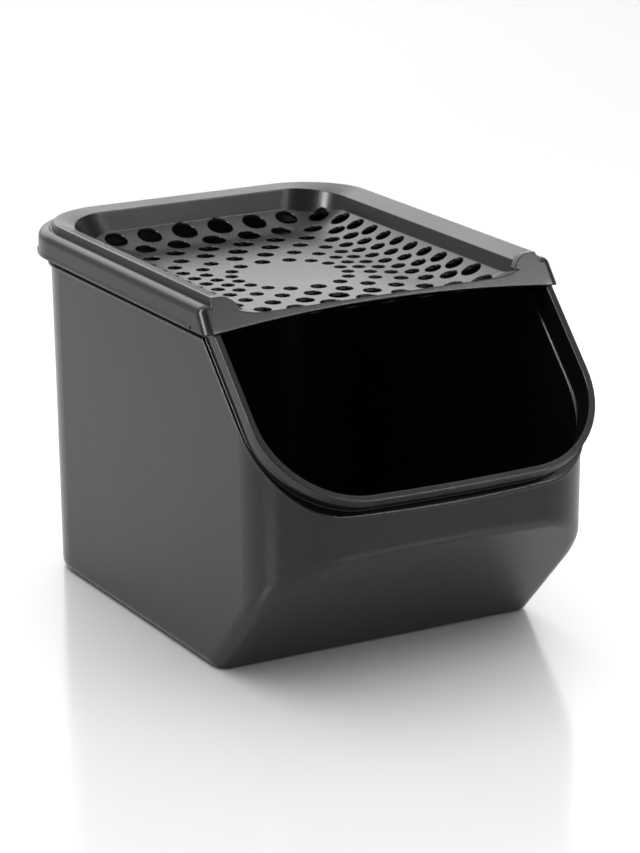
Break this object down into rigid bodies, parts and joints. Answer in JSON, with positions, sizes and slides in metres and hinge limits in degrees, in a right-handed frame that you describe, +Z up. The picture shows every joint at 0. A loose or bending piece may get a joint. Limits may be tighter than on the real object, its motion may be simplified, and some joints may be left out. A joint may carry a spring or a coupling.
{
  "type": "onion keeper",
  "caption": "Open-fronted onion keeper: undercut tapered bin with a slanted rimmed mouth and a lift-off dished lid full of air holes, shaped to stack.",
  "frame": {"origin": "centre of the base's flat face, on the surface that the keeper stands on", "axes": "+Z up, +Y towards the back, the slanted mouth faces -Y"},
  "size_m": [0.1862, 0.2751, 0.1761],
  "materials": {
    "bin_plastic": "satin, fine moulded texture",
    "lid_plastic": "satin, fine moulded texture"
  },
  "bodies": {
    "bin": {"bin": "bin_plastic"},
    "lid": {"lid": "lid_plastic"}
  },
  "joints": [
    {"name": "lid_lift", "type": "slide", "parent": "bin", "child": "lid", "axis": [0, 0, 1], "range_m": [0, 0.05]}
  ]
}
